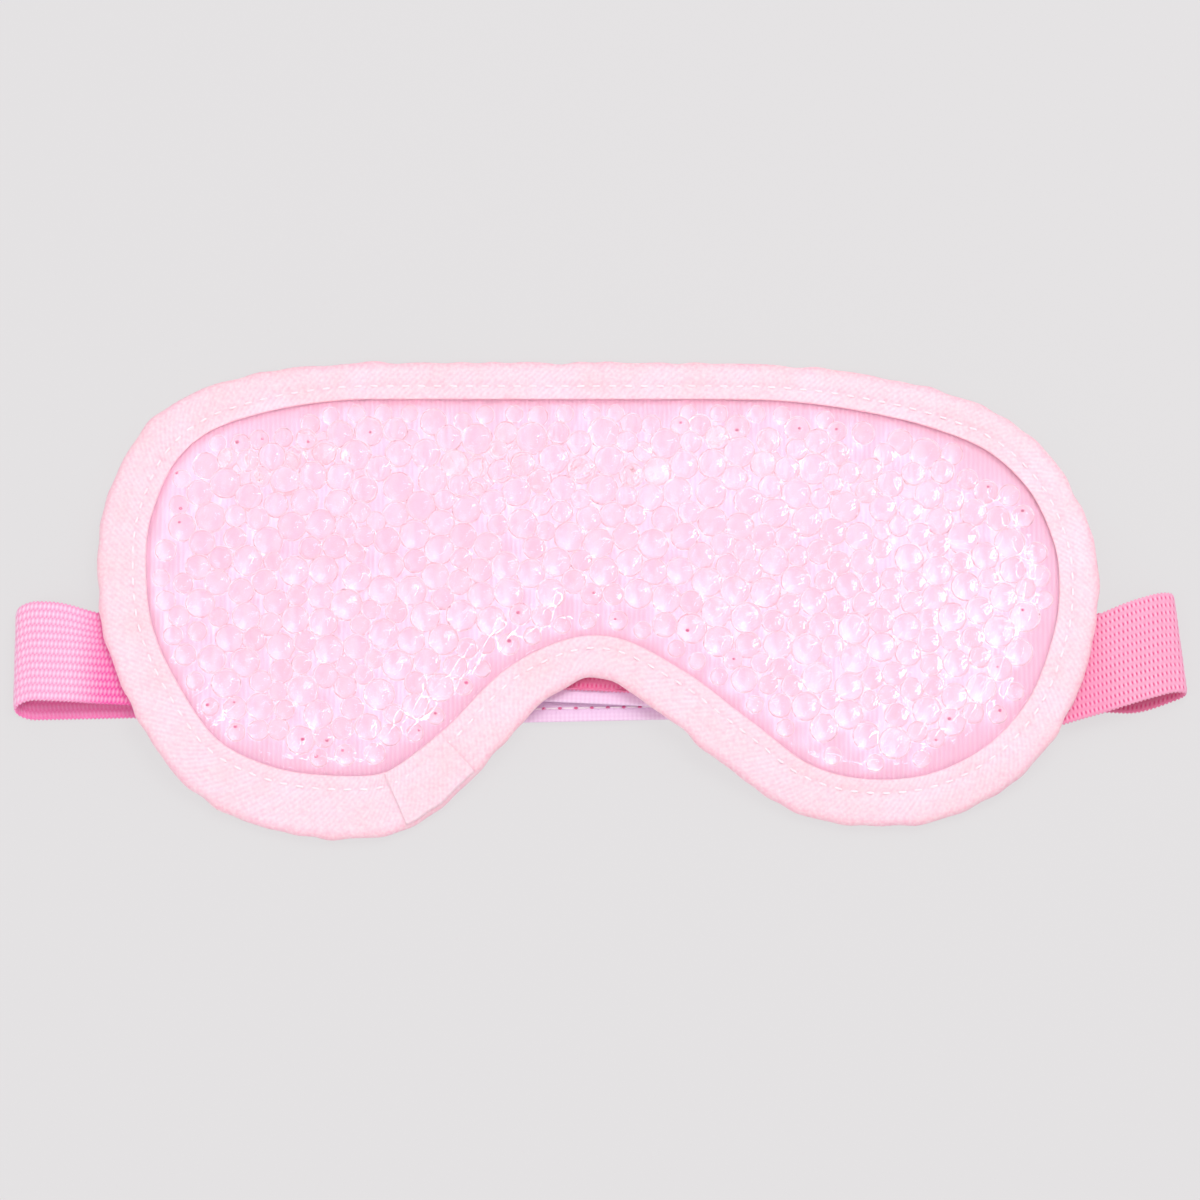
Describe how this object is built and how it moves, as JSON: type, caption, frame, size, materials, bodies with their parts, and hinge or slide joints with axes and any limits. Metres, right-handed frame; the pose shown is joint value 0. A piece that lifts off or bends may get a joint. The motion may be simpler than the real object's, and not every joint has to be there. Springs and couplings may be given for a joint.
{
  "type": "gel bead eye mask",
  "caption": "Kidney-shaped clear pouch of gel beads on a knitted back panel, bound at the edge, with two elastic straps that close with hook and loop tape.",
  "frame": {"origin": "on the surface that the mask lies on, under the middle of its box", "axes": "+Z out of the gel face, +Y towards the forehead edge, +X to the right as the gel face is seen"},
  "size_m": [0.2336, 0.0969, 0.012],
  "materials": {
    "clear_film": "clear glossy vinyl",
    "gel": "wet translucent gel",
    "knit": "short-pile knit",
    "binding": "fine twill tape",
    "thread": "spun polyester thread",
    "elastic": "knitted elastic",
    "hook_and_loop": "woven tape with hooks or loops"
  },
  "bodies": {
    "mask": {"front_film": "clear_film", "back_film": "clear_film", "gel_beads": "gel", "back_panel": "knit", "edge_binding": "binding", "binding_lap": "binding", "needle_thread": "thread", "bobbin_thread": "thread", "left_strap_run": "elastic", "right_strap_run": "elastic", "left_strap_fold": "elastic", "right_strap_fold": "elastic", "left_strap_tack": "thread", "right_strap_tack": "thread"},
    "left_tail": {"left_strap_tail": "elastic"},
    "left_closure": {"left_strap_end": "elastic", "loop_tape": "hook_and_loop", "loop_tape_stitches": "thread"},
    "right_tail": {"right_strap_tail": "elastic"},
    "right_closure": {"right_strap_end": "elastic", "hook_tape": "hook_and_loop", "hook_tape_stitches": "thread"}
  },
  "joints": [
    {"name": "left_strap_unfold", "type": "hinge", "parent": "mask", "child": "left_tail", "pos_m": [-0.1144, -0.0144, 0.0024], "axis": [0, 1, 0], "range_deg": [0, 180], "deforming": ["left_strap_fold"]},
    {"name": "right_strap_unfold", "type": "hinge", "parent": "mask", "child": "right_tail", "pos_m": [0.1144, -0.0142, 0.0024], "axis": [0, -1, 0], "range_deg": [0, 126], "deforming": ["right_strap_fold"]},
    {"name": "left_strap_stretch", "type": "slide", "parent": "left_tail", "child": "left_closure", "axis": [0.9998, 0.0209, 0], "range_m": [0, 0.035], "stiffness_N_per_m": 40},
    {"name": "right_strap_stretch", "type": "slide", "parent": "right_tail", "child": "right_closure", "axis": [-0.9989, 0.0471, 0], "range_m": [0, 0.035], "stiffness_N_per_m": 40}
  ],
  "couplings": [
    {"joint": "right_strap_unfold", "follows": "left_strap_unfold", "ratio": 0.7}
  ]
}
